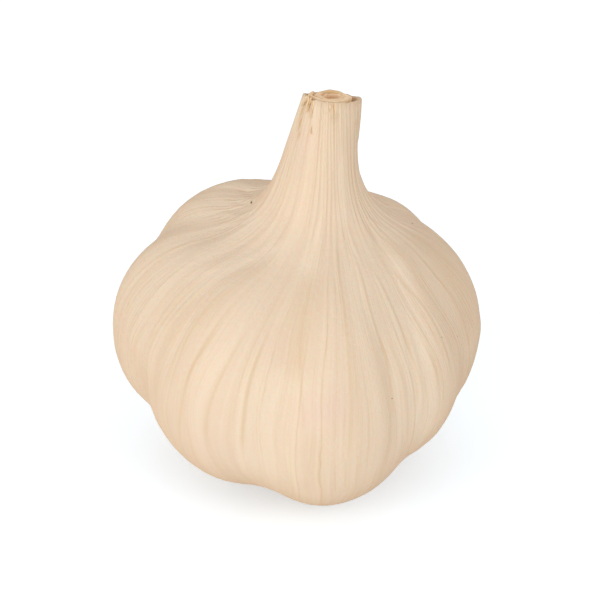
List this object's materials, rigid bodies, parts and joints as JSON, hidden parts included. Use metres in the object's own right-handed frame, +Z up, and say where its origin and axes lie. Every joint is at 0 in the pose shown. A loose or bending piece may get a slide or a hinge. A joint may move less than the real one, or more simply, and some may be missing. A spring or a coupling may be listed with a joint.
{
  "type": "garlic bulb",
  "caption": "Whole dried garlic bulb: lobed papery body, ribbed neck cut off straight with rolled inner leaves in the cut, and a trimmed root plate that it stands on.",
  "frame": {"origin": "centre of the flat underside of the root plate, where the bulb stands", "axes": "+Z up along the bulb towards the cut neck, -Y towards the side with the three full lobes that the picture shows, +X to that view's right"},
  "size_m": [0.0603, 0.0577, 0.0652],
  "materials": {
    "wrapper": "satin",
    "rolled_leaf": "matte",
    "root": "matte"
  },
  "bodies": {
    "root": {"bulb": "wrapper", "neck_core": "rolled_leaf", "root_plate": "root"}
  },
  "joints": []
}
